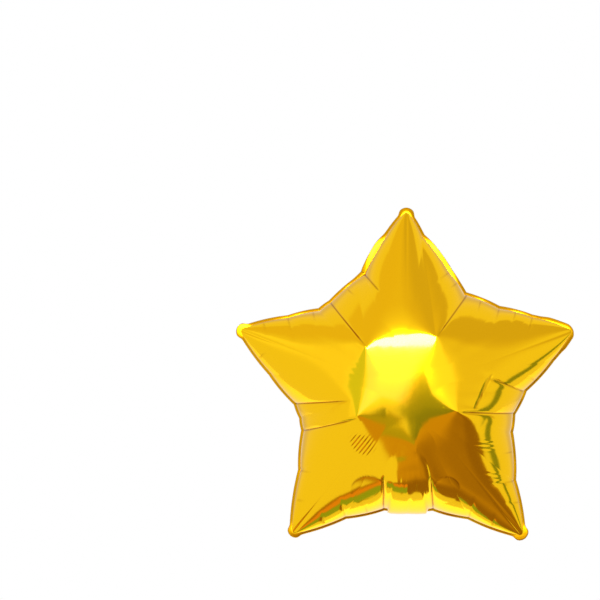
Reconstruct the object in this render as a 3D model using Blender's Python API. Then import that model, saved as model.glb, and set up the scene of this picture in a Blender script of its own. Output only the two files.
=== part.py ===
"""Star foil balloon, blown up: two star-shaped films sealed together along their edge.

The star stands upright in the XZ plane and faces -Y. The origin is the lowest
point of the filling neck's fold, where a ribbon or a stick would hold it.
"""

import math

import bmesh
import bpy
import numpy as np

# Sizes in metres. The star is seen from the front.
STAR_WIDTH = 0.4195         # left tip of the seam to its right tip
STAR_HEIGHT = 0.4100        # lowest tip of the seam to its top tip

# Places on the star, as shares of its width and height from its middle.
# The seam's tips and inner corners run anticlockwise from the top tip.
TIPS = (
    (0.0000, 0.5500),
    (-0.5030, 0.1841),
    (-0.3445, -0.4463),
    (0.3504, -0.4500),
    (0.4970, 0.1824),
)
CORNERS = (
    (-0.2277, 0.2663),
    (-0.3142, -0.0866),
    (0.0036, -0.3659),
    (0.3170, -0.0732),
    (0.1728, 0.2912),
)
# Where the taut seam kinks between a tip and a corner: before each corner, and after it.
KINKS_BEFORE = (
    ((-0.0591, 0.4729), (-0.1228, 0.3561)),
    ((-0.4088, 0.0524), (-0.3313, -0.0415)),
    ((-0.1859, -0.3902), (-0.0682, -0.3634)),
    ((0.3194, -0.2810), (0.3099, -0.1305)),
    ((0.3776, 0.2207), (0.2775, 0.2476)),
)
KINKS_AFTER = (
    ((-0.2622, 0.2402), (-0.3576, 0.2183)),
    ((-0.3075, -0.1268), (-0.3170, -0.2500)),
    ((0.0803, -0.3634), (0.1883, -0.3902)),
    ((0.3528, 0.0024), (0.4362, 0.0963)),
    ((0.1259, 0.3610), (0.0441, 0.4720)),
)
# Corners of the nearly flat middle, where the creases from the inner corners end.
MIDDLE = (
    (-0.1197, 0.1346),
    (-0.1471, -0.0732),
    (-0.0014, -0.1788),
    (0.1502, -0.0578),
    (0.0865, 0.1656),
)
SEAM_BULGE = 0.03           # bow of the seam between two kinks, as a share of the run
TIP_ROUNDING = 0.003        # radius of the seam at a tip

HALF_THICKNESS = 0.075      # middle of the star to the front film
BACK_SHARE = 0.96           # the back film is this much as deep
MIDDLE_BULGE = 0.0035       # how far the middle stands out over its corners
MIDDLE_REACH = 0.070        # radius of the middle
FOLD_BOWS = (0.019, 0.0, 0.0, 0.0, 0.0)     # bow of each arm's fold at the middle, top arm first
FOLD_SOFTNESS = 0.24        # the folds get softer away from the middle's corners
FOLD_LIMIT = 0.009          # and no softer than this
FOLD_SHARPEST = 0.0001
# How far in from the seam the film's sides curve down, edge by edge from the top tip
SIDE_REACHES = (0.058, 0.058, 0.066, 0.060, 0.038, 0.050, 0.066, 0.066, 0.060, 0.060)
REACH_BLEND = 0.024         # how softly that gives way to an arm's own half width
SIDE_ROUNDNESS = 2.15       # 2 is an elliptic side, more is a fuller one
WARP_POWER = 5              # how near the seam its kinks stay

SEAL_WIDTH = 0.0050         # flat heat-sealed border outside the seam
TAB_RADIUS = 0.0080         # round tab that the border makes at a tip
TAB_REACH = 0.0120          # the tab starts this far from the tip
SEAL_THICKNESS = 0.0010
SEAL_WAVE = 0.0012          # how far the border waves to the front and back
WAVE_COUNT = 23             # waves around the star

NECK_HALF_WIDTH = 0.0240    # the filling neck between its two creases
TAIL_LENGTH = 0.060         # filling tail, folded behind the star
TAIL_CLEARANCE = 0.0030     # between the folded tail and the back film
FOLD_DROP = 0.0030          # the neck's fold under the border
FOLD_TURN = 0.0024          # how far the fold's bottom runs back
FOLD_LEAN = 0.00036         # how far the tail leans back above the fold's bottom
TAIL_START = 0.0066         # the tail is clear of the fold this far behind the star's plane

# Creases in the film: outer end and inner end as places on the star, depth and half width.
CREASES = (
    ((-0.2288, 0.2683), (-0.1168, 0.1346), 0.0050, 0.0070),
    ((-0.1263, 0.3561), (-0.0787, 0.3024), 0.0040, 0.0055),
    ((-0.3313, -0.0427), (-0.1669, -0.0268), 0.0050, 0.0060),
    ((-0.3099, -0.1256), (-0.1430, -0.0805), 0.0050, 0.0060),
    ((-0.0691, -0.3659), (-0.0691, -0.2537), 0.0055, 0.0050),
    ((0.0799, -0.3659), (0.0715, -0.2585), 0.0055, 0.0050),
    ((0.3242, -0.0707), (0.1502, -0.0598), 0.0045, 0.0065),
    ((0.3433, 0.0000), (0.2360, 0.0390), 0.0025, 0.0050),
    ((0.1824, 0.2939), (0.0894, 0.1671), 0.0050, 0.0070),
)
# Pillows in the front film at the neck: place on the star, half width and half height, rise.
PILLOWS = (
    ((0.0036, -0.3024), (0.029, 0.047), 0.0050),
    ((-0.1216, -0.3122), (0.019, 0.022), 0.0026),
    ((0.1192, -0.3073), (0.018, 0.021), 0.0024),
)
PILLOW_POWER = 0.8
# Short gathers that the seam pulls into the film at its kinks: outer end, length and depth.
GATHERS = (
    (KINKS_AFTER[0][1], 0.030, 0.0025),
    (KINKS_AFTER[1][1], 0.028, 0.0025),
    (KINKS_BEFORE[2][0], 0.028, 0.0025),
    (KINKS_AFTER[2][1], 0.030, 0.0025),
    (KINKS_BEFORE[3][0], 0.036, 0.0030),
    (KINKS_BEFORE[4][0], 0.028, 0.0025),
    (KINKS_BEFORE[4][1], 0.028, 0.0025),
    (KINKS_AFTER[4][0], 0.030, 0.0025),
)
GATHER_HALF_WIDTH = 0.0040
CREASE_RISE = 1 / 6         # a crease fades in over this share of its length outside its end
CREASE_ROUNDING = 0.0010    # radius of a crease's bottom
CREASE_LEAD = 0.012         # a crease reaches its full depth this high above the seam

COLUMN_SPACING = 0.0105     # mesh columns along the seam
RINGS = 17                  # mesh rings from the middle to the seam
TAIL_ROWS = 10
TAIL_STEPS = 60             # points that the tail's path is worked out from
TIP_STEPS = 4               # mesh columns around a tip

FILM_COLOUR = (0.80, 0.47, 0.004, 1.0)
FILM_ROUGHNESS = 0.16


def cross(a, b):
    return a[..., 0] * b[..., 1] - a[..., 1] * b[..., 0]


def larger(a, b, blend):
    """The larger of two heights, with the step between them rounded off."""
    near = np.maximum(0, blend - np.abs(a - b)) / blend
    return np.maximum(a, b) + near * near * blend / 4


def smaller(a, b, blend):
    return -larger(-a, -b, blend)


def ease(t):
    t = np.clip(t, 0, 1)
    return t * t * (3 - 2 * t)


def unit(vectors):
    return vectors / np.linalg.norm(vectors, axis=-1, keepdims=True)


def spot(places):
    """Places on the star in metres from its middle."""
    return np.array(places) * (STAR_WIDTH, STAR_HEIGHT)


def plain_star():
    """The star with straight edges: its tips and corners in turn."""
    return spot([point for pair in zip(TIPS, CORNERS) for point in pair])


def ray_length(angles, polygon):
    """How far the polygon's edge lies from the middle at each angle."""
    rays = np.stack([np.cos(angles), np.sin(angles)], 1)
    length = np.zeros(len(angles))
    for start, end in zip(polygon, np.roll(polygon, -1, 0)):
        run = end - start
        slope = cross(rays, run)
        slope = np.where(np.abs(slope) < 1e-12, 1e-12, slope)
        reach = cross(start, run) / slope
        along = cross(start, rays) / slope
        meets = (reach > 0) & (along > -1e-6) & (along < 1 + 1e-6)
        length = np.where(meets, np.maximum(length, reach), length)
    return length


def half_width(points):
    """The half width of the arm that each point is in, blended from arm to arm."""
    angle = np.arctan2(points[:, 1], points[:, 0])
    tips = spot(TIPS)
    corners = spot(CORNERS)
    tip_angle = np.arctan2(tips[:, 1], tips[:, 0])
    corner_angle = np.arctan2(corners[:, 1], corners[:, 0])
    widths = []
    for arm in range(5):
        left = unit(corners[arm] - tips[arm])
        right = unit(tips[arm] - corners[arm - 1])
        widths.append((cross(left, points - tips[arm]) + cross(right, points - tips[arm])) / 2)
    width = np.zeros(len(points))
    for arm in range(5):
        following = (arm + 1) % 5
        span = (tip_angle[following] - tip_angle[arm]) % (2 * math.pi)
        middle = ((corner_angle[arm] - tip_angle[arm]) % (2 * math.pi)) / span
        turned = ((angle - tip_angle[arm]) % (2 * math.pi)) / span
        inside = turned < 1
        first_half = 0.5 * turned / middle
        second_half = 0.5 + 0.5 * (turned - middle) / (1 - middle)
        blend = ease(2 * np.where(turned < middle, first_half, second_half) - 0.5)
        mixed = widths[arm] * (1 - blend) + widths[following] * blend
        width = np.where(inside, mixed, width)
    return width


def ridge_height(points):
    """Height of the five arms' ridges and of the nearly flat middle that they run up to."""
    middle = spot(MIDDLE)
    tips = spot(TIPS)
    corner_gap = np.min([np.linalg.norm(points - corner, axis=1) for corner in middle], axis=0)
    blend = np.clip(FOLD_SOFTNESS * corner_gap, FOLD_SHARPEST, FOLD_LIMIT)
    ridge = HALF_THICKNESS + MIDDLE_BULGE * (1 - (points ** 2).sum(1) / MIDDLE_REACH ** 2)
    for arm in range(5):
        start, end = middle[arm - 1], middle[arm]
        run = end - start
        outward = unit(np.array((run[1], -run[0])))
        along = np.clip((points - start) @ run / (run @ run), 0, 1)
        beyond = (points - start) @ outward - FOLD_BOWS[arm] * 4 * along * (1 - along)
        slope = HALF_THICKNESS / ((tips[arm] - start) @ outward)
        ridge = smaller(ridge, HALF_THICKNESS - slope * beyond, blend)
    return ridge


def side_share(points):
    """0 on the seam and 1 where the sides end, with a valley in from each inner corner."""
    star = plain_star()
    width = half_width(points)
    shares = []
    for edge, reach in enumerate(SIDE_REACHES):
        run = unit(star[(edge + 1) % len(star)] - star[edge])
        side = np.maximum(smaller(width, reach, REACH_BLEND), 1e-6)
        shares.append(cross(run, points - star[edge]) / side)
    corners = [np.maximum(first, second) for first, second in zip(shares[::2], shares[1::2])]
    return np.clip(np.min(corners, axis=0), 0, 1)


def valley(points, outer, inner, depth, width):
    """A crease with a sharp bottom, deepest at its outer end."""
    length = np.linalg.norm(inner - outer)
    run = (inner - outer) / length
    along = (points - outer) @ run / length
    across = cross(run, points - outer)
    across = np.sqrt(across ** 2 + CREASE_ROUNDING ** 2) - CREASE_ROUNDING
    fade = ease(1 - along) * ease(1 + along / CREASE_RISE)
    return depth * fade * np.exp(-across / width)


def film_height(points, front=True):
    """Height of a film over the star's plane. The front one has the pillows at the neck."""
    section = (1 - (1 - side_share(points)) ** SIDE_ROUNDNESS) ** (1 / SIDE_ROUNDNESS)
    height = np.maximum(ridge_height(points), 0) * section
    sunk = np.zeros(len(points))
    for outer, inner, depth, width in CREASES:
        sunk += valley(points, spot(outer), spot(inner), depth, width)
    for place, length, depth in GATHERS:
        outer = spot(place)
        sunk += valley(points, outer, outer - unit(outer) * length, depth, GATHER_HALF_WIDTH)
    for place, reach, rise in PILLOWS if front else ():
        gap = (((points - spot(place)) / reach) ** 2).sum(1)
        sunk -= rise * np.maximum(1 - gap, 0) ** PILLOW_POWER
    return height - sunk * height / (height + CREASE_LEAD)


def rounded_tip(tip, before, after):
    """The seam's small round at a tip, as points of an arc."""
    back = unit(before - tip)
    on = unit(after - tip)
    half = math.acos(np.clip(back @ on, -1, 1)) / 2
    centre = tip + unit(back + on) * TIP_ROUNDING / math.sin(half)
    start = tip + back * TIP_ROUNDING / math.tan(half) - centre
    turn = (math.pi - 2 * half) / TIP_STEPS
    points = []
    for step in range(TIP_STEPS + 1):
        c, s = math.cos(turn * step), math.sin(turn * step)
        points.append(centre + (c * start[0] - s * start[1], s * start[0] + c * start[1]))
    return points


def bowed_run(start, end):
    """Points from one kink up to the next, on a line that bows a little outwards."""
    run = end - start
    length = np.linalg.norm(run)
    outward = np.array((run[1], -run[0])) / length
    count = max(2, round(length / COLUMN_SPACING))
    points = []
    for step in range(count):
        share = step / count
        bow = 4 * share * (1 - share) * SEAM_BULGE * length
        points.append(start + run * share + outward * bow)
    return points


def seam_points():
    """The seam, anticlockwise seen from the front, starting at the top tip."""
    arcs = []
    for arm in range(5):
        before, after = spot(KINKS_AFTER[arm - 1][-1]), spot(KINKS_BEFORE[arm][0])
        arcs.append(rounded_tip(spot(TIPS[arm]), before, after))
    points = []
    for arm in range(5):
        kinks = [*KINKS_BEFORE[arm], CORNERS[arm], *KINKS_AFTER[arm]]
        stops = [arcs[arm][-1], *spot(kinks), arcs[(arm + 1) % 5][0]]
        points += arcs[arm][:-1]
        for start, end in zip(stops, stops[1:]):
            points += bowed_run(start, end)
    return np.array(points)


def border_points(seam):
    """The sealed border's outer edge, a little way outside the seam."""
    along = unit(np.roll(seam, -1, 0) - np.roll(seam, 1, 0))
    outward = np.stack([along[:, 1], -along[:, 0]], 1)
    tip_gap = np.min([np.linalg.norm(seam - tip, axis=1) for tip in spot(TIPS)], axis=0)
    tab = ease((TAB_REACH - tip_gap) / TAB_RADIUS)
    width = SEAL_WIDTH + (TAB_RADIUS - SEAL_WIDTH) * tab
    return seam + outward * width[:, None]


def loop_wave(points):
    """How far the border waves off the star's plane, around the star."""
    angle = np.arctan2(points[:, 1], points[:, 0])
    return SEAL_WAVE * np.sin(WAVE_COUNT * angle) * np.cos(3 * angle + 1)


def tail_path():
    """The folded tail's middle line in the YZ plane, from the border down, back and up."""
    neck = neck_height()
    heights = neck + np.linspace(0, TAIL_LENGTH, TAIL_STEPS)
    behind = np.stack([np.zeros(TAIL_STEPS), heights], 1)
    line = np.stack([film_height(behind, False) * BACK_SHARE + SEAL_THICKNESS / 2, heights], 1)
    step = unit(np.gradient(line, axis=0))
    line = line + np.stack([step[:, 1], -step[:, 0]], 1) * (TAIL_CLEARANCE + SEAL_THICKNESS)
    line = line[line[:, 0] > TAIL_START]
    start = np.array((0.0, neck - SEAL_WIDTH))
    bottom = start - (0.0, FOLD_DROP)
    lead = [start, (start + bottom) / 2 + (FOLD_LEAN, 0.0), bottom + (FOLD_TURN, 0.0)]
    line = np.concatenate([lead, line])
    reach = np.concatenate([[0], np.cumsum(np.linalg.norm(np.diff(line, axis=0), axis=1))])
    stops = np.concatenate([reach[:3], np.linspace(reach[3], TAIL_LENGTH, TAIL_ROWS - 3)])
    return np.stack([np.interp(stops, reach, line[:, 0]), np.interp(stops, reach, line[:, 1])], 1)


def neck_height():
    """Height of the seam at the middle of the neck."""
    return spot(CORNERS[2])[1]


def lift():
    """How far the star's middle stands over the neck's fold."""
    return -(neck_height() - SEAL_WIDTH - FOLD_DROP) + SEAL_THICKNESS / 2


def stand(points, depth):
    """Points of the star's plane as 3-D points, upright, with their depth along Y."""
    return np.stack([points[:, 0], depth, points[:, 1] + lift()], 1)


def film_rows(seam, side):
    """The rings of one film, from the middle's first ring out to the seam."""
    star = plain_star()
    angles = np.arctan2(seam[:, 1], seam[:, 0])
    plain = ray_length(angles, star)
    stretch = np.linalg.norm(seam, axis=1) / plain
    rays = np.stack([np.cos(angles), np.sin(angles)], 1)
    rows = []
    for ring in range(1, RINGS + 1):
        share = math.sin(ring / RINGS * math.pi / 2)
        flat = rays * (plain * share)[:, None]
        height = film_height(flat, side < 0) * (1 if side < 0 else BACK_SHARE)
        if ring == RINGS:
            height = np.zeros(len(flat))
        placed = flat * (1 + (stretch - 1) * share ** WARP_POWER)[:, None]
        depth = side * (height + SEAL_THICKNESS / 2) + loop_wave(placed) * share ** WARP_POWER
        rows.append(stand(placed, depth))
    return rows


def neck_columns(seam):
    """The columns of the seam that the filling neck takes up."""
    near = (np.abs(seam[:, 0]) < NECK_HALF_WIDTH) & (seam[:, 1] < 0)
    return np.nonzero(near)[0]


def tail_rows(front, back, columns):
    """Front and back points of the tail, row by row, after the border's own edge."""
    path = tail_path()
    step = unit(np.gradient(path, axis=0))
    away = np.stack([step[:, 1], -step[:, 0]], 1) * SEAL_THICKNESS / 2
    middle = (front[columns] + back[columns]) / 2
    rows = []
    for place, offset in zip(path[1:], away[1:]):
        settle = min(1.0, len(rows) / 2)
        own = middle[:, 2] - (path[0][1] + lift())
        height = place[1] + lift() + own * (1 - settle)
        depth = place[0] + middle[:, 1] * (1 - settle)
        ahead = np.stack([middle[:, 0], depth - offset[0], height - offset[1]], 1)
        behind = np.stack([middle[:, 0], depth + offset[0], height + offset[1]], 1)
        rows.append((behind, ahead))
    return rows


def build_envelope():
    """The whole balloon as one closed solid."""
    seam = seam_points()
    border = border_points(seam)
    front = film_rows(seam, -1)
    back = film_rows(seam, 1)
    wave = loop_wave(border)
    front.append(stand(border, wave - SEAL_THICKNESS / 2))
    back.append(stand(border, wave + SEAL_THICKNESS / 2))

    mesh = bmesh.new()

    def add_row(points):
        return [mesh.verts.new(point) for point in points]

    count = len(seam)
    rows = [add_row(row) for row in front] + [add_row(row) for row in reversed(back)]
    middle = np.zeros((1, 2))
    height = film_height(middle)
    ends = [
        mesh.verts.new(stand(middle, -height - SEAL_THICKNESS / 2)[0]),
        mesh.verts.new(stand(middle, height * BACK_SHARE + SEAL_THICKNESS / 2)[0]),
    ]
    columns = neck_columns(seam)
    neck = set(columns[:-1].tolist())
    rim = len(front) - 1
    for column in range(count):
        following = (column + 1) % count
        mesh.faces.new((ends[0], rows[0][column], rows[0][following]))
        mesh.faces.new((ends[1], rows[-1][following], rows[-1][column]))
        for index in range(len(rows) - 1):
            if index == rim and column in neck:
                continue
            lower, upper = rows[index], rows[index + 1]
            mesh.faces.new((lower[column], upper[column], upper[following], lower[following]))

    lower = ([rows[rim][c] for c in columns], [rows[rim + 1][c] for c in columns])
    for ahead, behind in tail_rows(front[-1], back[-1], columns):
        upper = (add_row(ahead), add_row(behind))
        last = len(columns) - 1
        for step in range(last):
            mesh.faces.new((lower[0][step], upper[0][step], upper[0][step + 1], lower[0][step + 1]))
            mesh.faces.new((lower[1][step], lower[1][step + 1], upper[1][step + 1], upper[1][step]))
        mesh.faces.new((lower[0][0], lower[1][0], upper[1][0], upper[0][0]))
        mesh.faces.new((lower[0][last], upper[0][last], upper[1][last], lower[1][last]))
        lower = upper
    for step in range(len(columns) - 1):
        mesh.faces.new((lower[0][step], lower[1][step], lower[1][step + 1], lower[0][step + 1]))

    bmesh.ops.recalc_face_normals(mesh, faces=mesh.faces)
    bmesh.ops.triangulate(mesh, faces=mesh.faces)
    return mesh


def film_material():
    material = bpy.data.materials.new("gold_film")
    material.use_nodes = True
    shader = material.node_tree.nodes["Principled BSDF"]
    shader.inputs["Base Color"].default_value = FILM_COLOUR
    shader.inputs["Metallic"].default_value = 1.0
    shader.inputs["Roughness"].default_value = FILM_ROUGHNESS
    return material


def main():
    for old in list(bpy.data.objects):
        bpy.data.objects.remove(old)
    collection = bpy.data.collections.new("star_foil_balloon")
    bpy.context.scene.collection.children.link(collection)
    mesh = bpy.data.meshes.new("star_envelope")
    envelope = build_envelope()
    envelope.to_mesh(mesh)
    envelope.free()
    mesh.shade_smooth()
    mesh.set_sharp_from_angle(angle=math.radians(50))
    mesh.materials.append(film_material())
    collection.objects.link(bpy.data.objects.new("star_envelope", mesh))


main()
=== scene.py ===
"""Dresses the star foil balloon: gold film, sealed border, filling tail and studio."""

import math

import bpy
import numpy as np
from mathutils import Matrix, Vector


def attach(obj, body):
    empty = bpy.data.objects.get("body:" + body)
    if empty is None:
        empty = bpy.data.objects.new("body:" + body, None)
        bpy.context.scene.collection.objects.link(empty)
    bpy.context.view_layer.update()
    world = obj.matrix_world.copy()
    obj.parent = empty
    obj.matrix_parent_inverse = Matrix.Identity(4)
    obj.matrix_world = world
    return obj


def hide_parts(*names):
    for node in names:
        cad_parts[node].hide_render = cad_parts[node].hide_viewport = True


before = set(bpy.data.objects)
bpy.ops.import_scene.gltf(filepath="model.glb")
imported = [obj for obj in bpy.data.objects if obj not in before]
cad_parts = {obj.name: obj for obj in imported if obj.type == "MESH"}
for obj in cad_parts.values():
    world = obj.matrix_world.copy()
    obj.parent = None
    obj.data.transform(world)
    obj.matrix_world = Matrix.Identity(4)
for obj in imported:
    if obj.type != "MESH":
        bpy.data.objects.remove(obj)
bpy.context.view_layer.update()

MM = 0.001

# The star's own plane, in millimetres from its middle: X to the right, Z up.
# Tips and inner corners of the seam run anticlockwise from the top tip.
TIPS = ((0.0, 225.5), (-211.0, 75.5), (-144.5, -183.0), (147.0, -184.5), (208.5, 74.8))
CORNERS = ((-95.5, 109.2), (-131.8, -35.5), (1.5, -150.0), (133.0, -30.0), (72.5, 119.4))
KINKS_BEFORE = (
    ((-24.8, 193.9), (-51.5, 146.0)),
    ((-171.5, 21.5), (-139.0, -17.0)),
    ((-78.0, -160.0), (-28.6, -149.0)),
    ((134.0, -115.2), (130.0, -53.5)),
    ((158.4, 90.5), (116.4, 101.5)),
)
KINKS_AFTER = (
    ((-110.0, 98.5), (-150.0, 89.5)),
    ((-129.0, -52.0), (-133.0, -102.5)),
    ((33.7, -149.0), (79.0, -160.0)),
    ((148.0, 1.0), (183.0, 39.5)),
    ((52.8, 148.0), (18.5, 193.5)),
)
SEAM_BULGE = 0.03
TIP_ROUNDING = 3.0

# The flat middle's own corners, where the creases from the inner corners end
MIDDLE = ((-50.2, 55.2), (-61.7, -30.0), (-0.6, -73.3), (63.0, -23.7), (36.3, 67.9))
# How far each arm's fold at the middle bows out towards the tip, from the top arm on
FOLD_BOWS = (19.0, 0.0, 0.0, 0.0, 0.0)

HALF_THICKNESS = 75.0
BACK_SHARE = 0.96
MIDDLE_BULGE = 3.5
MIDDLE_REACH = 70.0
SIDE_ROUNDNESS = 2.15
# How far in from the seam the film's sides curve down, edge by edge from the top tip
SIDE_REACHES = (58.0, 58.0, 66.0, 60.0, 44.0, 50.0, 66.0, 64.0, 60.0, 60.0)
REACH_BLEND = 24.0
# How much shorter the sides are close to each inner corner, and how far that goes
CORNER_SHARES = (0.0, 0.0, 0.0, 0.36, 0.0)
CORNER_SPREAD = 40.0
# Two arms' planes are rounded into each other, widely away from the middle's corners
ARM_BLEND = 9.0
ARM_BLEND_GROWTH = 0.24
NECK_BLEND = 10.0           # the same for the two legs over the neck
NECK_BLEND_GROWTH = 0.4
FACET_BLEND = 2.0
CORNER_BLEND = 0.05
# Over the neck the left leg's flat side turns towards the front, right of this line
NECK_FACET = ((-61.7, -30.0), (-25.0, -92.5))
NECK_FACET_TURN = 0.12
WARP_POWER = 5
SEAM_LIFT = 0.5             # the films start this far off the border's middle
FILM_OVERHANG = 1.8         # the blown-up film hides this much of the border
NECK_OVERHANG = 7.6         # at the neck it runs over the border, down to the tail's fold

# Long creases from the seam to the flat middle: outer end, inner end, the depth of the tight
# fold, and the depth and half width of the wide hollow that it lies in.
MAIN_CREASES = (
    ((-96.0, 110.0), (-49.0, 55.2), 2.8, 3.0, 12.0),
    ((-139.0, -17.5), (-70.0, -11.0), 2.4, 3.0, 7.0),
    ((-130.0, -51.5), (-60.0, -33.0), 2.4, 3.0, 7.0),
    ((-29.0, -150.0), (-29.0, -104.0), 2.8, 4.0, 7.0),
    ((33.5, -150.0), (30.0, -106.0), 2.8, 4.0, 7.0),
    ((136.0, -29.0), (63.0, -24.5), 2.6, 1.0, 6.0),
    ((76.5, 120.5), (37.5, 68.5), 2.8, 3.0, 12.0),
)
# Shorter creases that end in the sides of the arms, with the same values
SIDE_CREASES = (
    ((144.0, 0.0), (104.0, 17.5), 1.8, 0.6, 5.0),
    ((-53.0, 146.0), (-33.0, 124.0), 2.0, 3.0, 7.0),
    ((103.0, 17.0), (84.0, -24.0), 0.9, 1.0, 5.0),
)
FOLD_HALF_WIDTH = 1.3
FOLD_RUN_OUT = 0.25
# Short gathers at the seam: outer end, length and depth.
GATHERS = (
    ((-150.0, 89.5), 30.0, 3.0),
    ((-181.0, 83.0), 16.0, 1.6),
    ((-118.0, 97.0), 20.0, 2.0),
    ((-186.0, 42.0), 18.0, 1.6),
    ((-133.0, -102.5), 24.0, 2.2),
    ((-137.0, -140.0), 16.0, 1.6),
    ((-105.0, -168.0), 16.0, 1.8),
    ((-78.0, -160.0), 28.0, 3.0),
    ((-50.0, -154.0), 18.0, 1.6),
    ((79.0, -160.0), 30.0, 3.0),
    ((108.0, -170.0), 18.0, 1.8),
    ((140.0, -142.0), 18.0, 1.6),
    ((134.0, -115.2), 36.0, 2.6),
    ((131.0, -78.0), 18.0, 1.4),
    ((160.0, 13.5), 14.0, 1.2),
    ((158.4, 90.5), 28.0, 2.6),
    ((137.0, 96.5), 20.0, 2.2),
    ((116.4, 101.5), 28.0, 2.8),
    ((93.0, 111.0), 22.0, 2.0),
    ((62.0, 134.0), 18.0, 1.6),
    ((52.8, 148.0), 30.0, 2.4),
    ((-73.0, 126.0), 18.0, 1.6),
)
GATHER_HALF_WIDTH = 2.2
CREASE_ROUNDING = 0.2
CREASE_LEAD = 12.0
CREASE_SHADE_HALF_WIDTH = 0.9           # half width of the shade painted darker along the bottom of a fold
CREASE_START = 6.0          # how fast a crease deepens at its outer end
# how much of the painted crease shade the gathers and the upper edges of two swellings get
GATHER_SHADE_SHARE = 0.5
PILLOW_SHADE_SHARE = 0.6
PILLOW_EDGE = 0.8           # under 1, so that a swelling has a crisp edge

# Low swellings in the film at the neck and beside it: middle, half width, half height, how far
# they stand out, and how flat their tops are from side to side.
PILLOWS = (
    ((1.5, -124.0), (30.0, 45.0), 3.0, 4),
    ((-48.0, -126.0), (22.0, 20.0), -1.0, 2),
    ((50.0, -124.0), (17.0, 17.0), 1.3, 2),
)
# Patches of fine ripples: middle, reach along and across them, the way they follow each other in
# degrees, their spacing and depth.
RIPPLES = (
    ((-56.0, -66.0), (24.0, 15.0), -38.0, 4.4, 0.30),
    ((3.0, -114.0), (20.0, 16.0), 0.0, 6.3, 0.22),
    ((100.0, -68.0), (9.0, 24.0), 88.0, 5.2, 0.45),
    ((112.0, -107.0), (8.0, 18.0), 84.0, 5.2, 0.45),
    ((-63.0, 26.0), (17.0, 7.0), 80.0, 9.0, 0.12),
    ((-112.0, -34.0), (16.0, 20.0), 84.0, 8.0, 0.45),
)

BORDER_WIDTH = 5.0
TAB_RADII = (8.0, 8.0, 7.5, 8.5, 3.5)       # the round tab at each tip
BORDER_THICKNESS = 0.3
BORDER_ROWS = 6
# Where the border is wider: its middle, its reach along the seam, the extra width and the lean.
BORDER_LOBES = (
    ((-41.0, 166.0), 40.0, 3.0, 0.14),
    ((40.0, 165.0), 44.0, 1.5, 0.14),
    ((190.0, 82.0), 24.0, 1.6, 0.4),
    ((201.0, 63.0), 18.0, 1.4, 0.4),
    ((-209.0, 75.0), 16.0, 0.0, 0.1),
    ((145.0, -182.0), 16.0, 0.0, 0.1),
    ((-143.0, -181.0), 16.0, 0.0, 0.3),
)
BORDER_LEAN = 0.55          # the border leans back this much for its width, past its first share
LEAN_START = 0.35
BORDER_WAVE = 1.2
WAVE_COUNT = 23

NECK_HALF_WIDTH = 24.0
NECK_PUFF = 4.0             # half thickness of the filling neck where it leaves the star
NECK_PUFF_LENGTH = 14.0
TAIL_LENGTH = 60.0
TAIL_HALF_THICKNESS = 0.45
TAIL_CLEARANCE = 2.6
TAIL_CRUMPLE = 0.25
TAIL_ROWS = 90
TAIL_COLUMNS = 49
FOLD_DROP = 3.0

# Spacing of the film's columns of points along the seam, away from the creases and at them
COLUMN_SPACING = 1.9
FINE_SPACING = 0.4
SPACING_GROWTH = 0.2
FREE_COLUMNS = 25.0         # this many columns from a crease, they run straight to the middle
OUTER_RINGS = 62
INNER_RINGS = 26

GOLD = (0.97, 0.57, 0.002)
# painted shade: the darker gold laid along the bottoms of folds and gathers, where real creases fall
# into shade
CREASE_SHADE_GOLD = (0.42, 0.17, 0.0)
FILM_ROUGHNESS = 0.11
LACQUER = 0.12
LACQUER_ROUGHNESS = 0.06
FILM_RIPPLE_SCALE = 55.0
FILM_RIPPLE_DEPTH = 0.0006
FILM_RIPPLE_STRENGTH = 0.10
BORDER_GOLD = (0.62, 0.31, 0.002)
BORDER_ROUGHNESS = 0.32
BORDER_RIB_SCALE = 420.0
BORDER_RIB_DEPTH = 0.0003
BORDER_RIB_STRENGTH = 0.12

# Photograph
PHOTO_SIZE = 600
STAR_MIDDLE_PX = (406.5, 389.4)
MM_PER_PX = 1.272
CAMERA_DISTANCE = 3.2
CAMERA_ELEVATION = math.radians(2.5)

SOFTBOX_PLACE = (0.0, -2.5, 0.83)
SOFTBOX_SIZE = (1.1, 0.56)
SOFTBOX_POWER = 210

PALE_FLOOR = (0.84, 0.86, 0.88)
PALE_FLOOR_ROUGHNESS = 0.6
PALE_FLOOR_REACH = 2.2
PALE_FLOOR_FRONT = 0.02
PALE_FLOOR_LEVEL = -0.75

# The room that the film mirrors: its tones, then where each patch of it lies. Its places are in
# degrees right of and above the camera, seen from the balloon, or turned away from the camera in
# any direction. A patch goes from one place to another, with the softness of its two edges last.
# Two values alone are where one soft edge begins and ends.
WALL_TONE = (0.93, 0.92, 0.90)
REAR_TONE = (0.76, 0.72, 0.70)
CEILING_TONE = (0.84, 0.75, 0.60)
DIM_CEILING_TONE = (0.70, 0.62, 0.58)
PANEL_TONE = (1.90, 1.36, 6.00)
SIDE_TONE = (1.25, 1.26, 1.60)
FLOOR_TONE = (0.62, 0.39, 0.18)
CORNER_TONE = (0.30, 0.17, 0.10)
STAND_TONE = (0.24, 0.30, 0.32)
STRIP_TONE = (0.24, 0.33, 0.35)
LOW_STRIP_TONE = (0.30, 0.50, 0.40)
WARM_STRIP_TONE = (0.82, 0.36, 0.25)
FRAME_TONE = (0.70, 0.88, 0.80)
RUG_TONE = (0.44, 0.46, 0.30)

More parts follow.
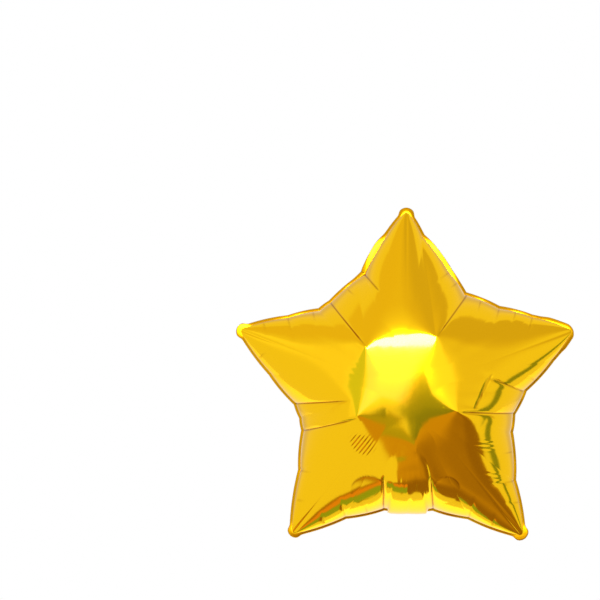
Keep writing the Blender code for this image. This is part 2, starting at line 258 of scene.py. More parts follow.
DIM_SIDE = (-8, 38)
CEILING_EDGE = (31, 56)
CEILING_SLOPE = 0.42
CEILING_DIM_DROP = 7.0
HORIZON = (-4, 6)
SIDE_RIGHT = (-50, 40, 4)
SIDE_UP = (-10, 15, 5)
FRAME_RIGHT = (-47, -31, 2)
FRAME_UP = (-14, 12, 2)
FLOOR_SIDES = (-60, 47, 1.5)
FLOOR_CUT = (-25, 90, 2)
FLOOR_CUT_SLOPE = 0.2
FLOOR_DEPTH = (-74, -9, 1.5)
FLOOR_SPREAD = 0.45
FLOOR_TILT = 0.15
NEAR_FLOOR_RIGHT = (-42, 40, 3)
NEAR_FLOOR_UP = (-70, -50, 1.5)
GAP_RIGHT = (-7.5, 0.5, 1.5)
GAP_UP = (-19, -14.5)
CORNER_RIGHT = (26, 60, 9)
CORNER_DEPTH = (-60, -14, 8)
NEAR_FLOOR_DARK = (-60, -34)
RUG_RIGHT = (-26, 0, 3)
RUG_EDGE = (-27, -23)
STAND_LEAN = 0.44
STAND_WIDTH = (1.5, 22, 1.5)
STAND_UP = (-19, 6, 2)
STAND_RIGHT_LEAN = 0.7
STAND_RIGHT_EDGE = (5.5, 7.5)
STAND_LEFT_LEAN = 0.1
STAND_LEFT_EDGE = (-6.5, -4)
STRIP_TURNED = (65, 73, 1)
STRIP_START = (40, 46)
STRIP_TOP = (22, 30)
LOW_STRIP_TURNED = (64, 77, 1)
WARM_STRIP_TURNED = (57, 64, 1)
LOW_STRIP_RIGHT = (-50, 4, 2)
LOW_STRIP_TOP = (-56, -50)
PANEL_WIDTH = (-30, 1, 1.2)
PANEL_RIGHT = (-27, 9, 4)
PANEL_FOOT = (-7, -3)
PANEL_TOP = (7, 16)
# Where the ceiling ends, and where the room turns to its plain wall, its rear and the white
# background. These are the direction's own Y: -1 towards the camera, 1 straight behind the balloon.
CEILING_END = (-0.24, -0.12)
WALL_START = (0.1, 0.5)
REAR_START = (0.35, 0.7)
BACKDROP_START = (0.86, 0.93)


def cross(a, b):
    return a[..., 0] * b[..., 1] - a[..., 1] * b[..., 0]


def ease(t):
    t = np.clip(t, 0, 1)
    return t * t * (3 - 2 * t)


def smaller(a, b, blend):
    """The smaller of two heights, with the step between them rounded off."""
    near = np.maximum(0, blend - np.abs(a - b)) / blend
    return np.minimum(a, b) - near * near * blend / 4


def unit(vectors):
    return vectors / np.linalg.norm(vectors, axis=-1, keepdims=True)


def plain_star():
    return np.array([point for pair in zip(TIPS, CORNERS) for point in pair])


def ray_length(angles, polygon):
    """How far the polygon's edge lies from the middle at each angle."""
    rays = np.stack([np.cos(angles), np.sin(angles)], 1)
    length = np.zeros(len(angles))
    for start, end in zip(polygon, np.roll(polygon, -1, 0)):
        run = end - start
        slope = cross(rays, run)
        slope = np.where(np.abs(slope) < 1e-9, 1e-9, slope)
        reach = cross(start, run) / slope
        along = cross(start, rays) / slope
        meets = (reach > 0) & (along > -1e-6) & (along < 1 + 1e-6)
        length = np.where(meets, np.maximum(length, reach), length)
    return length


def half_width(points):
    """The half width of the arm that each point is in, blended from arm to arm."""
    angle = np.arctan2(points[:, 1], points[:, 0])
    tips = np.array(TIPS)
    corners = np.array(CORNERS)
    tip_angle = np.arctan2(tips[:, 1], tips[:, 0])
    corner_angle = np.arctan2(corners[:, 1], corners[:, 0])
    widths = []
    for arm in range(5):
        left = unit(corners[arm] - tips[arm])
        right = unit(tips[arm] - corners[arm - 1])
        widths.append((cross(left, points - tips[arm]) + cross(right, points - tips[arm])) / 2)
    width = np.zeros(len(points))
    for arm in range(5):
        following = (arm + 1) % 5
        span = (tip_angle[following] - tip_angle[arm]) % (2 * math.pi)
        middle = ((corner_angle[arm] - tip_angle[arm]) % (2 * math.pi)) / span
        turned = ((angle - tip_angle[arm]) % (2 * math.pi)) / span
        first_half = 0.5 * turned / middle
        second_half = 0.5 + 0.5 * (turned - middle) / (1 - middle)
        blend = ease(2 * np.where(turned < middle, first_half, second_half) - 0.5)
        mixed = widths[arm] * (1 - blend) + widths[following] * blend
        width = np.where(turned < 1, mixed, width)
    return width


def ridge_height(points):
    """Height of the five arms' ridges and of the nearly flat middle that they run up to."""
    middle = np.array(MIDDLE)
    corner_gap = np.min([np.linalg.norm(points - corner, axis=1) for corner in middle], axis=0)
    blend = np.minimum(CORNER_BLEND + ARM_BLEND_GROWTH * corner_gap, ARM_BLEND)
    bulge = MIDDLE_BULGE * (1 - (points ** 2).sum(1) / MIDDLE_REACH ** 2)
    planes = []
    for arm in range(5):
        start, end = middle[arm - 1], middle[arm]
        outward = unit(np.array((end[1] - start[1], start[0] - end[0])))
        beyond = (points - start) @ outward
        along = np.clip((points - start) @ (end - start) / ((end - start) @ (end - start)), 0, 1)
        beyond = beyond - FOLD_BOWS[arm] * 4 * along * (1 - along)
        slope = HALF_THICKNESS / ((np.array(TIPS[arm]) - start) @ outward)
        planes.append(HALF_THICKNESS - slope * beyond)
    start, end = np.array(NECK_FACET)
    line_x = start[0] + (end[0] - start[0]) * (points[:, 1] - start[1]) / (end[1] - start[1])
    facet = planes[2] - NECK_FACET_TURN * (points[:, 0] - np.minimum(line_x, end[0]))
    left_leg = smaller(planes[2], facet, np.minimum(blend, FACET_BLEND))
    neck_gap = np.maximum(middle[2][1] - points[:, 1], 0)
    neck_blend = np.minimum(CORNER_BLEND + NECK_BLEND_GROWTH * neck_gap, NECK_BLEND)
    legs = smaller(left_leg, planes[3], neck_blend)
    ridge = HALF_THICKNESS + bulge
    for plane in (planes[0], planes[1], legs, planes[4]):
        ridge = smaller(ridge, plane, blend)
    return ridge


def side_share(points):
    """0 on the seam and 1 where the sides end, with a valley in from each inner corner."""
    star = plain_star()
    width = half_width(points)
    shares = []
    for edge, reach in enumerate(SIDE_REACHES):
        run = unit(star[(edge + 1) % 10] - star[edge])
        gap = cross(run, points - star[edge])
        corner = edge // 2
        corner_gap = np.linalg.norm(points - np.array(CORNERS[corner]), axis=1)
        reach = reach * (1 - CORNER_SHARES[corner] * np.exp(-(corner_gap / CORNER_SPREAD) ** 2))
        shares.append(gap / np.maximum(smaller(width, reach, REACH_BLEND), 1e-3))
    corners = [np.maximum(shares[edge], shares[edge + 1]) for edge in range(0, 10, 2)]
    return np.clip(np.min(corners, axis=0), 0, 1)


def body_height(points):
    """Height of the smooth, blown-up film over the star's plane."""
    share = side_share(points)
    section = (1 - (1 - share) ** SIDE_ROUNDNESS) ** (1 / SIDE_ROUNDNESS)
    return np.maximum(ridge_height(points), 0) * section


def valley(points, outer, inner, depth, width, run_out=1.0):
    """A crease with a sharp bottom, deepest at its outer end and fading over its last share."""
    outer = np.array(outer)
    run = np.array(inner) - outer
    length = np.linalg.norm(run)
    run = run / length
    along = (points - outer) @ run / length
    across = cross(run, points - outer)
    across = np.sqrt(across ** 2 + CREASE_ROUNDING ** 2) - CREASE_ROUNDING
    fade = ease((1 - along) / run_out) * ease(1 + CREASE_START * along)
    return depth * fade * np.exp(-across / width)


def inward(place):
    """The way into the star, square to the edge that the place is nearest to."""
    star = plain_star()
    runs = unit(np.roll(star, -1, 0) - star)
    nearest = np.argmin(np.abs(cross(runs, np.array(place) - star)) + 1e3 * beyond_ends(place, star))
    return np.array((-runs[nearest][1], runs[nearest][0]))


def beyond_ends(place, star):
    """True for the edges that the place lies before or after, instead of beside."""
    runs = np.roll(star, -1, 0) - star
    along = ((np.array(place) - star) * runs).sum(1) / (runs ** 2).sum(1)
    return (along < 0) | (along > 1)


def pillow_share(points, middle, reach, power):
    """1 at a swelling's middle, falling to 0 at its edge and below 0 outside it."""
    gap = np.abs((points - np.array(middle)) / np.array(reach))
    return 1 - gap[:, 0] ** power - gap[:, 1] ** 2


def rippled(points, middle, reach, turn, spacing, depth):
    """A patch of fine parallel ripples that fades out at its edge."""
    turn = math.radians(turn)
    way = np.array((math.cos(turn), math.sin(turn)))
    onward = (points - np.array(middle)) @ way
    aside = cross(way, points - np.array(middle))
    fade = ease(1.5 - 1.5 * np.sqrt((onward / reach[0]) ** 2 + (aside / reach[1]) ** 2))
    return depth * fade * np.sin(2 * math.pi * onward / spacing)


def creased(points, height, front=True):
    """The body's height with its creases and gathers, and the front's own pillows and ripples."""
    sunk = np.zeros(len(points))
    for outer, inner, fold, hollow, width in MAIN_CREASES + SIDE_CREASES:
        sunk += valley(points, outer, inner, fold, FOLD_HALF_WIDTH, FOLD_RUN_OUT)
        sunk += valley(points, outer, inner, hollow, width)
    for outer, length, depth in GATHERS:
        inner = np.array(outer) + inward(outer) * length
        sunk += valley(points, outer, inner, depth, GATHER_HALF_WIDTH)
    for middle, reach, rise, power in PILLOWS if front else ():
        sunk -= rise * np.maximum(pillow_share(points, middle, reach, power), 0) ** PILLOW_EDGE
    for patch in RIPPLES if front else ():
        sunk += rippled(points, *patch)
    return height - sunk * height / (height + CREASE_LEAD)


def painted_crease_shade(points, front):
    """Painted shade: 1 along the bottom of each tight fold and 0 away from it."""
    line = np.zeros(len(points))
    for outer, inner, *_ in MAIN_CREASES + SIDE_CREASES:
        run = np.array(inner) - np.array(outer)
        along = (points - np.array(outer)) @ run / (run @ run)
        across = cross(unit(run), points - np.array(outer))
        fade = ease((1 - along) / FOLD_RUN_OUT) * ease(1 + CREASE_START * along)
        line = np.maximum(line, fade * np.exp(-(across / CREASE_SHADE_HALF_WIDTH) ** 2))
    for middle, reach, _, power in PILLOWS[1:] if front else ():
        off = pillow_share(points, middle, reach, power) * reach[1] / 2
        upper = ease((points[:, 1] - middle[1]) / reach[1] * 3 - 0.6)
        line = np.maximum(line, PILLOW_SHADE_SHARE * upper * np.exp(-(off / CREASE_SHADE_HALF_WIDTH) ** 2))
    for outer, length, _ in GATHERS:
        outer = np.array(outer)
        along = (points - outer) @ inward(outer) / length
        across = cross(inward(outer), points - outer)
        fade = ease(1 - 1.6 * along) * ease(1 + CREASE_START * along)
        line = np.maximum(line, GATHER_SHADE_SHARE * fade * np.exp(-(across / CREASE_SHADE_HALF_WIDTH) ** 2))
    return line


def rounded_tip(tip, before, after, steps=6):
    """The seam's small round at a tip, as points of an arc."""
    tip = np.array(tip)
    back = unit(np.array(before) - tip)
    on = unit(np.array(after) - tip)
    half = math.acos(np.clip(back @ on, -1, 1)) / 2
    centre = tip + unit(back + on) * TIP_ROUNDING / math.sin(half)
    start = tip + back * TIP_ROUNDING / math.tan(half) - centre
    turn = (math.pi - 2 * half) / steps
    points = []
    for step in range(steps + 1):
        c, s = math.cos(turn * step), math.sin(turn * step)
        points.append(centre + (c * start[0] - s * start[1], s * start[0] + c * start[1]))
    return points


def bowed_run(start, end, attractors):
    """Points up to the next kink, closer together near the ends of creases."""
    run = end - start
    length = np.linalg.norm(run)
    outward = np.array((run[1], -run[0])) / length
    places = [0.0]
    while places[-1] < length:
        here = start + run * places[-1] / length
        gap = np.linalg.norm(attractors - here, axis=1).min()
        places.append(places[-1] + min(COLUMN_SPACING, FINE_SPACING + SPACING_GROWTH * gap))
    shares = np.array(places) / places[-1]
    bow = 4 * shares * (1 - shares) * SEAM_BULGE * length
    return list(start + run * shares[:-1, None] + outward * bow[:-1, None])


def seam_points():
    """The seam, anticlockwise seen from the front, starting at the top tip."""
    ends = [crease[0] for crease in MAIN_CREASES + SIDE_CREASES] + [gather[0] for gather in GATHERS]
    attractors = np.array(ends)
    points = []
    for arm in range(5):
        following = (arm + 1) % 5
        arc = rounded_tip(TIPS[arm], KINKS_AFTER[arm - 1][-1], KINKS_BEFORE[arm][0])
        next_arc = rounded_tip(TIPS[following], KINKS_AFTER[arm][-1], KINKS_BEFORE[following][0])
        points += arc[:-1]
        stops = [arc[-1], *KINKS_BEFORE[arm], CORNERS[arm], *KINKS_AFTER[arm], next_arc[0]]
        stops = [np.array(stop) for stop in stops]
        for start, end in zip(stops, stops[1:]):
            points += bowed_run(start, end, attractors)
    return np.array(points)


def middle_loop(seam):
    """For each seam point, the point of the flat middle's edge that its column runs to."""
    places = []
    for outer, inner, *_ in MAIN_CREASES:
        nearest = int(np.argmin(np.linalg.norm(seam - np.array(outer), axis=1)))
        places.append((nearest, *inner))
    places.sort()
    count = len(seam)
    columns = np.array([places[-1][0] - count] + [p[0] for p in places] + [places[0][0] + count])
    inner = np.array([places[-1][1:]] + [p[1:] for p in places] + [places[0][1:]])
    angle = np.unwrap(np.arctan2(inner[:, 1], inner[:, 0]))
    radius = np.linalg.norm(inner, axis=1)
    at = np.arange(count)
    a = np.interp(at, columns, angle)
    r = np.interp(at, columns, radius)
    # halfway between two creases the columns run straight to the middle
    own = np.unwrap(np.arctan2(seam[:, 1], seam[:, 0]))
    own += 2 * math.pi * round(float(np.mean(a - own)) / (2 * math.pi))
    gap = np.min(np.abs(at[:, None] - columns[None]), axis=1)
    free = ease(gap / FREE_COLUMNS)
    a = a * (1 - free) + own * free
    return np.stack([r * np.cos(a), r * np.sin(a)], 1)


def warp(points, seam):
    """Moves points of the plain star so that its edge becomes the real seam."""
    angle = np.arctan2(points[:, 1], points[:, 0])
    plain = ray_length(angle, plain_star())
    own = np.arctan2(seam[:, 1], seam[:, 0])
    order = np.argsort(own)
    ratio = np.linalg.norm(seam, axis=1) / ray_length(own, plain_star())
    stretch = np.interp(angle, own[order], ratio[order], period=2 * math.pi)
    share = np.linalg.norm(points, axis=1) / plain
    return points * (1 + (stretch - 1) * np.clip(share, 0, 1) ** WARP_POWER)[:, None]


def border_wave(points):
    """How far the border waves off the star's plane."""
    angle = np.arctan2(points[:, 1], points[:, 0])
    return BORDER_WAVE * np.sin(WAVE_COUNT * angle) * np.cos(3 * angle + 1)


neck_height = CORNERS[2][1]
lift = -(neck_height - BORDER_WIDTH - FOLD_DROP) + 0.5


def stand(flat, depth):
    """Points of the star's plane in metres, upright, with their depth along Y."""
    return np.stack([flat[:, 0], depth, flat[:, 1] + lift], 1) * MM


def border_points(seam):
    """The border's outer edge, a little way outside the seam."""
    outward = unit(np.roll(seam, -1, 0) - np.roll(seam, 1, 0))
    outward = np.stack([outward[:, 1], -outward[:, 0]], 1)
    width = np.full(len(seam), BORDER_WIDTH)
    for tip, radius in zip(TIPS, TAB_RADII):
        tip_gap = np.linalg.norm(seam - np.array(tip), axis=1)
        width = width + (radius - BORDER_WIDTH) * ease(1.5 - tip_gap / radius)
    lean = np.full(len(seam), BORDER_LEAN)
    for place, reach, extra, lobe_lean in BORDER_LOBES:
        near = ease(1.6 - 1.6 * np.linalg.norm(seam - np.array(place), axis=1) / reach)
        width = width + extra * near
        lean = lean + (lobe_lean - lean) * near
    return outward, width, lean


def border(seam, outward, width, lean, material):
    """The flat heat-sealed border: a thin strip with a front and a back."""
    count = len(seam)
    shares = np.linspace(0, 1, BORDER_ROWS)
    rows, depths = [], []
    for face in (-1, 1):
        for share in shares[::face]:
            line = seam + outward * (width * share)[:, None]
            rows.append(line)
            back = lean * width * max(share - LEAN_START, 0)
            depths.append(border_wave(line) * (1 + 0.5 * share) + back + face * BORDER_THICKNESS / 2)
    flat = np.concatenate(rows)
    depth = np.concatenate(depths)
    order = np.arange(len(flat)).reshape(-1, count)
    faces = loft(np.concatenate([order, order[:1]]))
    return new_object("sealed_border", stand(flat, depth), faces, material)


def new_object(name, vertices, faces, material):
    mesh = bpy.data.meshes.new(name)
    mesh.from_pydata(np.asarray(vertices).tolist(), [], faces)
    mesh.update()
    mesh.shade_smooth()
    mesh.materials.append(material)
    piece = bpy.data.objects.new(name, mesh)
    bpy.context.scene.collection.objects.link(piece)
    return piece


def loft(rows, closed=True):
    """Quads between rows of point numbers."""
    faces = []
    for lower, upper in zip(rows, rows[1:]):
        pairs = zip(lower, upper, np.roll(upper, -1), np.roll(lower, -1)) if closed else zip(
            lower[:-1], upper[:-1], upper[1:], lower[1:])
        faces += [tuple(int(v) for v in quad) for quad in pairs]
    return faces


def film(name, seam, side, material):
    """One blown-up film: rings of points from the seam in to the middle."""
    count = len(seam)
    angles = np.arctan2(seam[:, 1], seam[:, 0])
    outer = seam / np.linalg.norm(seam, axis=1)[:, None] * ray_length(angles, plain_star())[:, None]
    inner = middle_loop(seam)
    shares = [math.sin(ring / OUTER_RINGS * math.pi / 2) for ring in range(OUTER_RINGS, -1, -1)]
    flat_rows = [inner + (outer - inner) * share for share in shares]
    for ring in range(INNER_RINGS - 1, 0, -1):
        flat_rows.append(inner * ring / INNER_RINGS)
    flat = np.concatenate(flat_rows + [np.zeros((1, 2))])
    placed = warp(flat, seam)
    placed[:count] = seam
    height = creased(placed, body_height(flat), side < 0)
    height[:count] = 0
    if side > 0:
        height = height * BACK_SHARE
    near_seam = np.linalg.norm(placed, axis=1) / ray_length(
        np.arctan2(placed[:, 1], placed[:, 0]), seam[::4])
    depth = side * (height + SEAM_LIFT) + border_wave(placed) * np.clip(near_seam, 0, 1) ** WARP_POWER
    rows = np.arange(len(flat) - 1).reshape(-1, count)
    faces = loft(rows)
    hub = len(flat) - 1
    faces += [(int(a), hub, int(b)) for a, b in zip(rows[-1], np.roll(rows[-1], -1))]
    if side < 0:
        faces = [face[::-1] for face in faces]
    piece = new_object(name, stand(placed, depth), faces, material)
    # the painted crease shade, kept on the mesh for the film's colour
    line = piece.data.attributes.new("painted_crease_shade", "FLOAT", "POINT")
    line.data.foreach_set("value", painted_crease_shade(placed, side < 0).astype(np.float32))
    return piece


def tail_path():
    """The folded filling tail's middle line: depth and height, from the neck down, back and up."""
    heights = np.linspace(neck_height + 1, neck_height + TAIL_LENGTH, 240)
    behind = np.stack([np.zeros_like(heights), heights], 1)
    film_depth = creased(behind, body_height(behind), False) * BACK_SHARE + SEAM_LIFT
    line = np.stack([film_depth, heights], 1)
    step = unit(np.gradient(line, axis=0))
    line = line + np.stack([step[:, 1], -step[:, 0]], 1) * (TAIL_CLEARANCE + TAIL_HALF_THICKNESS)
    fold = neck_height - BORDER_WIDTH - FOLD_DROP + TAIL_HALF_THICKNESS
    line = line[line[:, 0] > 2.5 * FOLD_DROP]
    lead = [(0, neck_height + 5), (0, neck_height - 3), (0.3, fold + 1.5), (1.6, fold), (4.5, fold)]
    line = np.concatenate([lead, line])
    for _ in range(3):
        middles = (line[1:] + line[:-1]) / 2
        line = np.concatenate([line[:1], middles, line[-1:]])
    reach = np.concatenate([[0], np.cumsum(np.linalg.norm(np.diff(line, axis=0), axis=1))])
    stops = np.linspace(0, TAIL_LENGTH, TAIL_ROWS)
    return np.stack([np.interp(stops, reach, line[:, 0]), np.interp(stops, reach, line[:, 1])], 1)


def filling_tail(material):
    """The flat filling neck, folded up behind the star, as a closed flattened tube."""
    path = tail_path()
    step = unit(np.gradient(path, axis=0))
    away = np.stack([step[:, 1], -step[:, 0]], 1)
    across = np.linspace(-1, 1, TAIL_COLUMNS)
    along = np.linspace(0, 1, TAIL_ROWS)[:, None]
    puff = NECK_PUFF * ease(1 - along * TAIL_LENGTH / NECK_PUFF_LENGTH)
    swell = np.sqrt(np.maximum(1 - across[None] ** 2, 0))
    crumple = np.sin(9 * across[None] + 14 * along) * np.sin(23 * along + 2 * across[None])
    crumple = TAIL_CRUMPLE * crumple * ease(along * 5 - 0.5)
    thickness = TAIL_HALF_THICKNESS * (0.4 + 0.6 * swell) + puff * swell
    sides = []
    for face in (1, -1):
        offset = (face * thickness + crumple)[..., None] * away[:, None]
        place = path[:, None] + offset
        x = np.broadcast_to(across[None] * NECK_HALF_WIDTH, place.shape[:2])
        sides.append(np.stack([x, place[..., 0], place[..., 1] + lift], 2))
    loop = np.concatenate([sides[0], sides[1][:, ::-1]], 1)
    count = loop.shape[1]
    faces = loft(np.arange(loop.shape[0] * count).reshape(-1, count))
    first = np.arange(count)
    last = first + (loop.shape[0] - 1) * count
    for pair in range(TAIL_COLUMNS - 1):
        a, b, c, d = pair, pair + 1, count - 2 - pair, count - 1 - pair
        faces.append((int(first[a]), int(first[b]), int(first[c]), int(first[d])))
        faces.append((int(last[d]), int(last[c]), int(last[b]), int(last[a])))
    return new_object("filling_tail", loop.reshape(-1, 3) * MM, faces, material)


class Graph:
    """A material's or world's nodes, made one call at a time."""

    def __init__(self, tree):
        self.tree = tree
        tree.nodes.clear()

    def node(self, kind, settings=None, **sockets):
        made = self.tree.nodes.new(kind)
        for name, value in (settings or {}).items():
            setattr(made, name, value)
        for name, value in sockets.items():
            key = int(name[1:]) if name[0] == "i" and name[1:].isdigit() else name.replace("_", " ")
            self.feed(made.inputs[key], value)
        return made

    def feed(self, socket, value):
        if isinstance(value, Value):
            self.tree.links.new(value.socket, socket)
        elif isinstance(value, bpy.types.NodeSocket):
            self.tree.links.new(value, socket)
        else:
            socket.default_value = value


class Value:
    """A number that varies over the surface, used in plain arithmetic."""

    def __init__(self, graph, socket):
        self.graph = graph
        self.socket = socket

    def maths(self, operation, *others):
        sockets = {f"i{n}": value for n, value in enumerate((self, *others))}
        made = self.graph.node("ShaderNodeMath", {"operation": operation}, **sockets)
        return Value(self.graph, made.outputs[0])

    def __add__(self, other):
        return self.maths("ADD", other)

    __radd__ = __add__

    def __mul__(self, other):
        return self.maths("MULTIPLY", other)

    __rmul__ = __mul__

    def __sub__(self, other):
        return self.maths("SUBTRACT", other)

    def __rsub__(self, other):
        return (self * -1.0).maths("ADD", other)

    def __truediv__(self, other):
        return self.maths("DIVIDE", other)

    def __rtruediv__(self, other):
        return self.maths("POWER", -1.0) * other


def gold_film():
    """Metallised film under a clear gold lacquer."""
    material = bpy.data.materials.new("gold_film")
    material.use_nodes = True
    graph = Graph(material.node_tree)
    place = graph.node("ShaderNodeTexCoord").outputs["Object"]
    ripple = graph.node("ShaderNodeTexNoise", Vector=place, Scale=FILM_RIPPLE_SCALE, Detail=2.0)
    bump = graph.node(
        "ShaderNodeBump", Strength=FILM_RIPPLE_STRENGTH, Distance=FILM_RIPPLE_DEPTH,
        Height=ripple.outputs["Fac"])
    # painted shade: the gold turns darker along the bottoms of the folds
    line = graph.node("ShaderNodeAttribute", {"attribute_name": "painted_crease_shade"}).outputs["Fac"]
    colour = laid_over(graph, (*GOLD, 1), CREASE_SHADE_GOLD, line)
    shader = graph.node(
        "ShaderNodeBsdfPrincipled", Base_Color=colour, Metallic=1.0, Roughness=FILM_ROUGHNESS,
        Normal=bump.outputs[0])
    shader.inputs["Coat Weight"].default_value = LACQUER
    shader.inputs["Coat Roughness"].default_value = LACQUER_ROUGHNESS
    graph.node("ShaderNodeOutputMaterial", Surface=shader.outputs[0])
    return material


def border_film():
    """The heat-sealed border: the same film, dulled and finely ribbed by the sealing bar."""
    material = bpy.data.materials.new("gold_border")
    material.use_nodes = True
    graph = Graph(material.node_tree)
    place = graph.node("ShaderNodeTexCoord").outputs["Object"]
    ribs = graph.node("ShaderNodeTexVoronoi", Vector=place, Scale=BORDER_RIB_SCALE)
    bump = graph.node(
        "ShaderNodeBump", Strength=BORDER_RIB_STRENGTH, Distance=BORDER_RIB_DEPTH,
        Height=ribs.outputs["Distance"])
    shader = graph.node(
        "ShaderNodeBsdfPrincipled", Base_Color=(*BORDER_GOLD, 1), Metallic=1.0,
        Roughness=BORDER_ROUGHNESS, Normal=bump.outputs[0])
    graph.node("ShaderNodeOutputMaterial", Surface=shader.outputs[0])
    return material


def build_balloon():
    material = gold_film()
    seam = seam_points()
    outward, width, lean = border_points(seam)
    neck = ease((NECK_HALF_WIDTH + 2 - np.abs(seam[:, 0] - CORNERS[2][0])) / 3) * (seam[:, 1] < -140)
    back_edge = seam + outward * FILM_OVERHANG
    front_edge = back_edge + outward * ((NECK_OVERHANG - FILM_OVERHANG) * neck)[:, None]
    front = film("front_film", front_edge, -1, material)
    back = film("back_film", back_edge, 1, material)
    pieces = [front, back, border(seam, outward, width, lean, border_film()), filling_tail(material)]
    for piece in pieces:
        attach(piece, "root")
    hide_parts("star_envelope")
    return pieces


def rising(value, low, high):
    """0 below low and 1 above high, with a soft step between."""
    made = value.graph.node("ShaderNodeMapRange", {"interpolation_type": "SMOOTHSTEP"},
                            Value=value, From_Min=low, From_Max=high)
    return Value(value.graph, made.outputs[0])


def inside(value, low, high, soft):
    """1 between low and high and 0 outside, with soft steps."""
    return rising(value, low - soft, low + soft) * (1.0 - rising(value, high - soft, high + soft))


def laid_over(graph, under, tone, share):
    made = graph.node("ShaderNodeMix", {"data_type": "RGBA"}, i0=share, i6=under, i7=(*tone, 1))
    return made.outputs[2]


def upper_room(graph, tone, right, up, y):
    """The ceiling, dimmer to the right, the bright side walls and the window frame."""
    dim_side = rising(right, *DIM_SIDE)
    height = up + right.maths("ABSOLUTE") * CEILING_SLOPE + dim_side * CEILING_DIM_DROP
    ceiling = rising(height, *CEILING_EDGE) * rising(up, *HORIZON) * (1.0 - rising(y, *CEILING_END))
    tone = laid_over(graph, tone, CEILING_TONE, ceiling)
    tone = laid_over(graph, tone, DIM_CEILING_TONE, ceiling * dim_side)
    tone = laid_over(graph, tone, SIDE_TONE, inside(right, *SIDE_RIGHT) * inside(up, *SIDE_UP))
    return laid_over(graph, tone, FRAME_TONE, inside(right, *FRAME_RIGHT) * inside(up, *FRAME_UP))


def room_floor(right, up):
    """1 where the room's floor is seen and 0 elsewhere, and the slanted measure of its depth."""
    slant = up + right.maths("ABSOLUTE") * FLOOR_SPREAD - right * FLOOR_TILT
    floor = inside(right + up * FLOOR_CUT_SLOPE, *FLOOR_CUT) * inside(right, *FLOOR_SIDES)
    floor = floor * inside(slant, *FLOOR_DEPTH)
    near = inside(right, *NEAR_FLOOR_RIGHT) * inside(up, *NEAR_FLOOR_UP)
    floor = floor.maths("MAXIMUM", near)
    return floor * (1.0 - inside(right, *GAP_RIGHT) * rising(up, *GAP_UP)), slant


def studio_things(graph, tone, right, up, turned):
    """The camera stand, the strips at the side and below, and the bright panel."""
    leaning = right - up * STAND_LEAN
    stand = inside(leaning, *STAND_WIDTH) * inside(up, *STAND_UP)
    stand = stand * (1.0 - rising(right + up * STAND_RIGHT_LEAN, *STAND_RIGHT_EDGE))
    stand = stand * rising(right + up * STAND_LEFT_LEAN, *STAND_LEFT_EDGE)
    tone = laid_over(graph, tone, STAND_TONE, stand)
    strip = inside(turned, *STRIP_TURNED) * rising(right, *STRIP_START) * (1.0 - rising(up, *STRIP_TOP))
    tone = laid_over(graph, tone, STRIP_TONE, strip)
    low = inside(right, *LOW_STRIP_RIGHT) * (1.0 - rising(up, *LOW_STRIP_TOP))
    tone = laid_over(graph, tone, LOW_STRIP_TONE, inside(turned, *LOW_STRIP_TURNED) * low)
    tone = laid_over(graph, tone, WARM_STRIP_TONE, inside(turned, *WARM_STRIP_TURNED) * low)
    panel = inside(leaning, *PANEL_WIDTH) * inside(right, *PANEL_RIGHT)
    panel = panel * rising(up, *PANEL_FOOT) * (1.0 - rising(up, *PANEL_TOP))
    return laid_over(graph, tone, PANEL_TONE, panel)


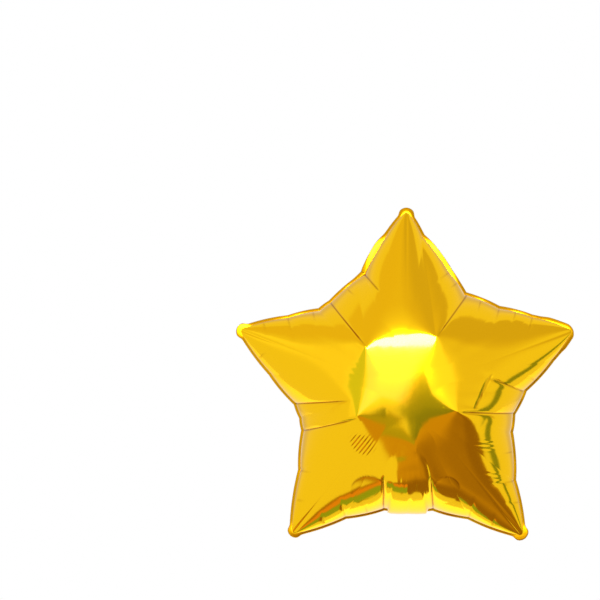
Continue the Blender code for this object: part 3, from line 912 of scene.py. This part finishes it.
def build_world():
    world = bpy.data.worlds.new("studio")
    bpy.context.scene.world = world
    world.use_nodes = True
    graph = Graph(world.node_tree)
    white = graph.node("ShaderNodeBackground", Color=(1, 1, 1, 1), Strength=1.0)
    direction = graph.node("ShaderNodeTexCoord").outputs["Generated"]
    split = graph.node("ShaderNodeSeparateXYZ", Vector=direction)
    x = Value(graph, split.outputs["X"])
    y = Value(graph, split.outputs["Y"])
    z = Value(graph, split.outputs["Z"])
    turned = (y * -1.0).maths("ARCCOSINE") * math.degrees(1)
    spread = turned / (x * x + z * z + 1e-6).maths("SQRT")
    right = x * spread
    up = z * spread
    tone = graph.node("ShaderNodeCombineColor", i0=WALL_TONE[0], i1=WALL_TONE[1], i2=WALL_TONE[2])
    tone = upper_room(graph, tone.outputs[0], right, up, y)
    floor, slant = room_floor(right, up)
    tone = laid_over(graph, tone, FLOOR_TONE, floor)
    corner = inside(right, *CORNER_RIGHT) * inside(slant, *CORNER_DEPTH)
    dark = corner.maths("MAXIMUM", 1.0 - rising(up, *NEAR_FLOOR_DARK))
    tone = laid_over(graph, tone, CORNER_TONE, floor * dark)
    tone = laid_over(graph, tone, RUG_TONE, floor * inside(right, *RUG_RIGHT) * rising(up, *RUG_EDGE))
    tone = studio_things(graph, tone, right, up, turned)
    tone = laid_over(graph, tone, WALL_TONE, rising(y, *WALL_START))
    tone = laid_over(graph, tone, REAR_TONE, rising(y, *REAR_START))
    room = graph.node("ShaderNodeBackground", Color=tone, Strength=1.0)
    path = graph.node("ShaderNodeLightPath")
    mirrored = Value(graph, path.outputs["Is Glossy Ray"]).maths(
        "MAXIMUM", path.outputs["Is Transmission Ray"])
    # what the film mirrors from behind the balloon is the white background, as the camera sees it
    backdrop = mirrored * rising(y, *BACKDROP_START)
    mix = graph.node(
        "ShaderNodeMixShader", i0=backdrop.maths("MAXIMUM", path.outputs["Is Camera Ray"]),
        i1=room.outputs[0], i2=white.outputs[0])
    graph.node("ShaderNodeOutputWorld", Surface=mix.outputs[0])


def soft_box(name, place, aim, size, power):
    light = bpy.data.lights.new(name, "AREA")
    light.shape = "RECTANGLE"
    light.size, light.size_y = size
    light.energy = power
    lamp = bpy.data.objects.new(name, light)
    bpy.context.scene.collection.objects.link(lamp)
    lamp.location = place
    lamp.rotation_euler = (Vector(aim) - Vector(place)).to_track_quat("-Z", "Y").to_euler()


def build_camera():
    """In front of the star, turned so that the star lies where the photo has it."""
    middle = Vector((0, 0, lift * MM))
    tilt = CAMERA_ELEVATION
    place = middle + Vector((0, -math.cos(tilt), math.sin(tilt))) * CAMERA_DISTANCE
    frame_width = PHOTO_SIZE * MM_PER_PX * MM
    aside = (STAR_MIDDLE_PX[0] - PHOTO_SIZE / 2) * MM_PER_PX * MM
    below = (STAR_MIDDLE_PX[1] - PHOTO_SIZE / 2) * MM_PER_PX * MM
    aim = middle + Vector((-aside, 0, below))
    data = bpy.data.cameras.new("camera")
    data.sensor_width = 36
    data.lens = 36 * CAMERA_DISTANCE / frame_width
    camera = bpy.data.objects.new("camera", data)
    bpy.context.scene.collection.objects.link(camera)
    camera.location = place
    camera.rotation_euler = (aim - place).to_track_quat("-Z", "Y").to_euler()
    bpy.context.scene.camera = camera


def build_floor():
    reach = PALE_FLOOR_REACH
    places = ((-reach, PALE_FLOOR_FRONT), (reach, PALE_FLOOR_FRONT), (reach, reach), (-reach, reach))
    corners = [(*place, PALE_FLOOR_LEVEL) for place in places]
    material = bpy.data.materials.new("pale_floor")
    material.use_nodes = True
    shader = material.node_tree.nodes["Principled BSDF"]
    shader.inputs["Base Color"].default_value = (*PALE_FLOOR, 1)
    shader.inputs["Roughness"].default_value = PALE_FLOOR_ROUGHNESS
    floor = new_object("floor", corners, [(0, 1, 2, 3)], material)


build_balloon()
build_world()
build_floor()
soft_box("top_softbox", SOFTBOX_PLACE, (0, 0, lift * MM), SOFTBOX_SIZE, SOFTBOX_POWER)
build_camera()
bpy.context.scene.view_settings.view_transform = "Standard"
